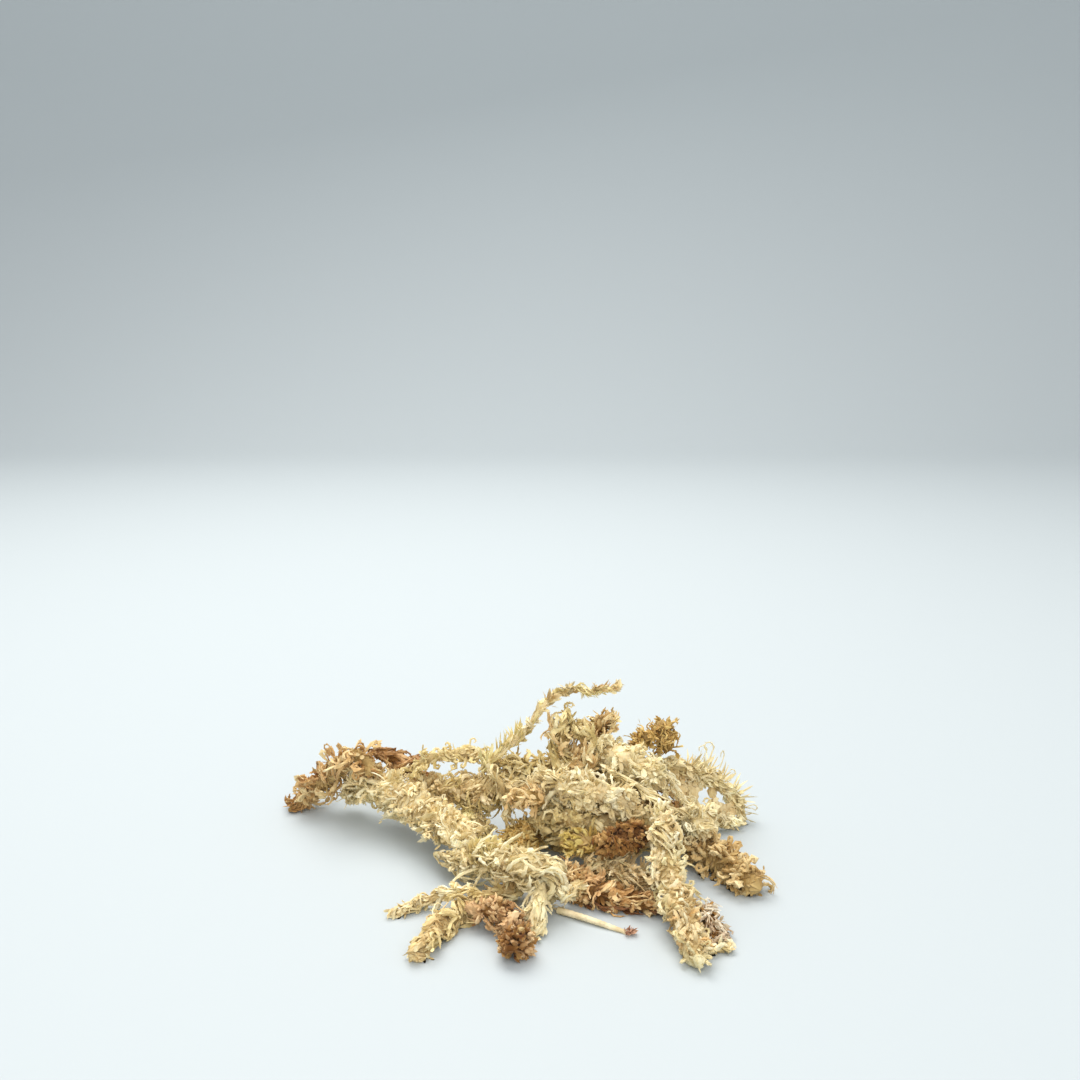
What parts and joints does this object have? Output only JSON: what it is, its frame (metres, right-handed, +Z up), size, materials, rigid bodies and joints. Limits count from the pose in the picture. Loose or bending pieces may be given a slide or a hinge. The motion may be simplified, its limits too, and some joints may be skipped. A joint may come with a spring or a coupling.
{
  "type": "sphagnum moss clump",
  "caption": "Dried sphagnum moss in a low open heap: leafy curled shoots laid over one another, an arm rising from the top, standing on the feet of its lowest shoots.",
  "frame": {"origin": "middle of the heap's footprint, on the surface it lies on", "axes": "+Z up; +X along the heap's length, to the right as the heap is looked at from its front, which faces -Y"},
  "size_m": [0.1562, 0.0978, 0.053],
  "materials": {
    "straw_moss": "dry, papery and matt, pale straw",
    "cream_moss": "dry, papery and matt, pale greenish cream",
    "tan_moss": "dry and matt, light tan",
    "rust_moss": "dry and matt, terracotta brown",
    "brown_moss": "dry and matt, dark brown heads",
    "golden_moss": "dry and matt, golden ochre",
    "rosy_moss": "dry and matt, pinkish tan"
  },
  "bodies": {
    "root": {"back_floor_shoot": "tan_moss", "under_centre_shoot": "straw_moss", "long_front_shoot": "rust_moss", "tan_floor_shoot": "tan_moss", "right_foot": "tan_moss", "front_left_foot": "cream_moss", "brown_foot": "rust_moss", "brown_foot_head": "brown_moss", "cut_end_shoot": "brown_moss", "cut_end_bud": "cream_moss", "straw_stem": "straw_moss", "small_bud": "cream_moss", "ochre_head": "golden_moss", "junction_fall": "cream_moss", "junction_shoot": "cream_moss", "thin_left_shoot": "cream_moss", "left_pale_shoot": "cream_moss", "middle_tuft": "straw_moss", "left_curl_shoot": "rosy_moss", "rust_back_shoot": "rust_moss", "cross_left_shoot": "straw_moss", "cross_right_shoot": "tan_moss", "inner_prop_shoot": "tan_moss", "centre_low_shoot": "straw_moss", "golden_tuft": "golden_moss", "brown_head": "brown_moss", "tan_middle_shoot": "tan_moss", "upper_cross_shoot": "straw_moss", "centre_shoot": "cream_moss", "rosy_head": "rosy_moss", "upright_stem": "cream_moss", "rust_stem": "rust_moss", "upper_right_shoot": "cream_moss", "arc_return_shoot": "cream_moss", "right_arc_shoot": "cream_moss", "front_right_shoot": "cream_moss", "shoulder_tuft": "cream_moss", "bare_stem_long": "straw_moss", "bare_stem_short": "straw_moss", "golden_head": "golden_moss", "golden_lobe": "golden_moss", "ragged_top_shoot": "straw_moss", "ragged_mid_shoot": "tan_moss", "ragged_side_shoot": "brown_moss", "bridge_shoot": "cream_moss", "rising_arm": "straw_moss"}
  },
  "joints": []
}
